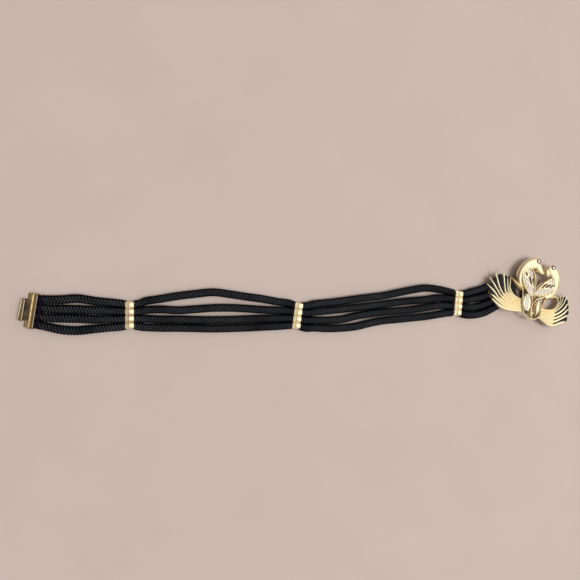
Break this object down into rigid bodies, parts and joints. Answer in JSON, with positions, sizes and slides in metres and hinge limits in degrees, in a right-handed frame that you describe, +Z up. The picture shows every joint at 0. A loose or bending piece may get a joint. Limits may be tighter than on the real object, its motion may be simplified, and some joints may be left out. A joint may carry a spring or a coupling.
{
  "type": "corded belt with swan buckle",
  "caption": "Belt of braided elastic cords run through gold spacer bars, with a hook clasp at one end and a pierced swan buckle set with crystals at the other.",
  "frame": {"origin": "middle of the belt's outline, on the surface that it lies on", "axes": "+X along the belt from the hook clasp to the buckle, +Y across it towards the swans' heads, +Z up from the surface"},
  "size_m": [0.6252, 0.0856, 0.0147],
  "materials": {
    "cord": "matt black braided cord",
    "gold": "polished, gold plated",
    "crystal": "cut and foil backed, set in gold"
  },
  "bodies": {
    "root": {"cord_1": "cord", "cord_2": "cord", "cord_3": "cord", "cord_4": "cord", "spacer_1": "gold", "spacer_2": "gold", "spacer_3": "gold", "hook_clasp": "gold", "swan_buckle": "gold", "pave_wing_left": "crystal", "pave_wing_right": "crystal", "pave_leaf": "crystal", "eye_left": "crystal", "eye_right": "crystal"}
  },
  "joints": []
}
